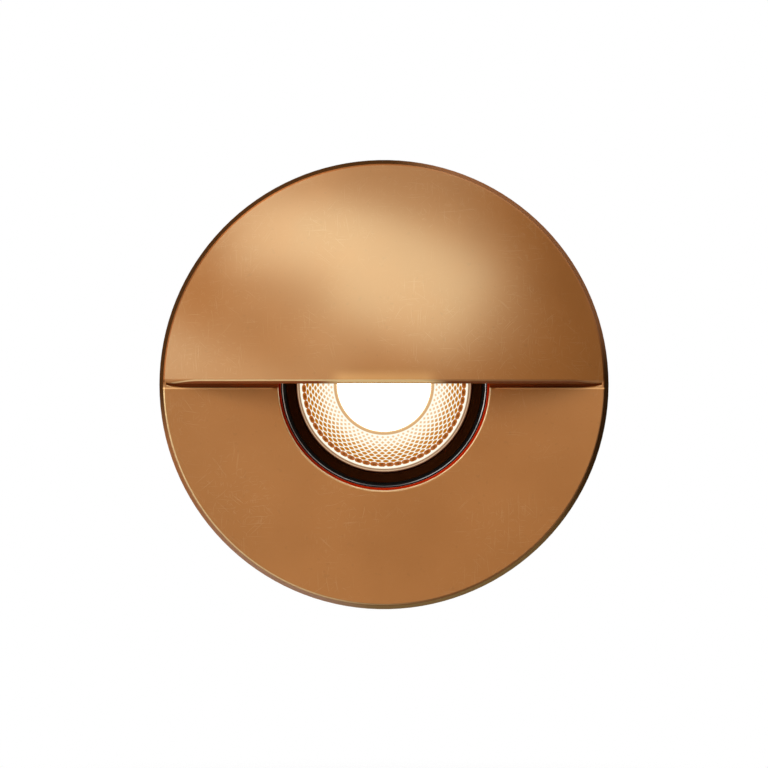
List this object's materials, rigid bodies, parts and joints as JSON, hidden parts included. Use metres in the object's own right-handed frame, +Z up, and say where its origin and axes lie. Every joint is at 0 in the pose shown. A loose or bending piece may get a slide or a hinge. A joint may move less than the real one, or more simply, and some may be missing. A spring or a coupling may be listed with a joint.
{
  "type": "step light",
  "caption": "Round recessed step light: a flat faceplate whose upper half is a domed eyelid hood over a lit round lens, on a tubular wall body.",
  "frame": {"origin": "centre of the front end of the body, in the plane of the wall's surface", "axes": "+Y runs back into the wall along the body, -Y is the lit front, +Z is up, +X is to the right seen from the front"},
  "size_m": [0.127, 0.1424, 0.127],
  "materials": {
    "bronze": "satin, lightly scratched",
    "foam": "closed-cell foam",
    "red_silicone": "matt silicone",
    "lens_glass": "clear, polished",
    "black_rubber": "matt",
    "black_anodised": "satin black",
    "dark_bronze": "satin dark bronze",
    "grey_anodised": "satin anodised",
    "stainless": "turned",
    "black_nylon": "moulded",
    "ceramic": "unglazed ceramic",
    "contact_brass": "bare",
    "zinc_steel": "zinc plated",
    "ivory_nylon": "moulded",
    "lead_sleeve": "silicone sleeve",
    "lamp_metal": "die-cast, painted",
    "lamp_plastic": "moulded",
    "lamp_bezel": "translucent",
    "lamp_optic": "clear, patterned",
    "lamp_glow": "diffusing, lit",
    "lamp_phosphor": "phosphor"
  },
  "bodies": {
    "wall_body": {"housing": "grey_anodised", "hole_rings": "black_rubber", "rear_cap": "grey_anodised", "cap_ring": "black_rubber", "cap_screws": "stainless", "gland_body": "black_nylon", "gland_washer": "black_rubber", "gland_seal": "black_rubber", "gland_nut": "black_nylon", "lampholder": "ceramic", "contact_sleeves": "contact_brass", "holder_bracket": "zinc_steel", "holder_screws": "stainless", "bracket_screws": "stainless", "terminal_block": "ivory_nylon", "terminal_screws": "stainless", "block_screw": "stainless", "lamp_leads": "lead_sleeve"},
    "grip": {"spigot_rings": "black_rubber"},
    "face": {"faceplate": "bronze", "wall_gasket": "foam", "lens_gasket": "red_silicone", "lens_glass": "lens_glass", "lens_seal": "black_rubber", "lens_ring": "black_anodised", "glare_baffle": "dark_bronze"},
    "lamp": {"lamp_heatsink": "lamp_metal", "lamp_base": "lamp_plastic", "lamp_pins": "stainless", "lamp_bezel": "lamp_bezel", "lamp_optic": "lamp_optic", "lamp_diffuser": "lamp_glow", "lamp_led": "lamp_phosphor", "lamp_led_board": "lamp_metal"}
  },
  "joints": [
    {"name": "face_pull", "type": "slide", "parent": "wall_body", "child": "grip", "axis": [0, -1, 0], "range_m": [0, 0.024]},
    {"name": "face_turn", "type": "hinge", "parent": "grip", "child": "face", "pos_m": [0, 0, 0], "axis": [0, -1, 0], "continuous": true},
    {"name": "lamp_pull", "type": "slide", "parent": "wall_body", "child": "lamp", "axis": [0, -1, 0], "range_m": [0, 0.007]}
  ]
}
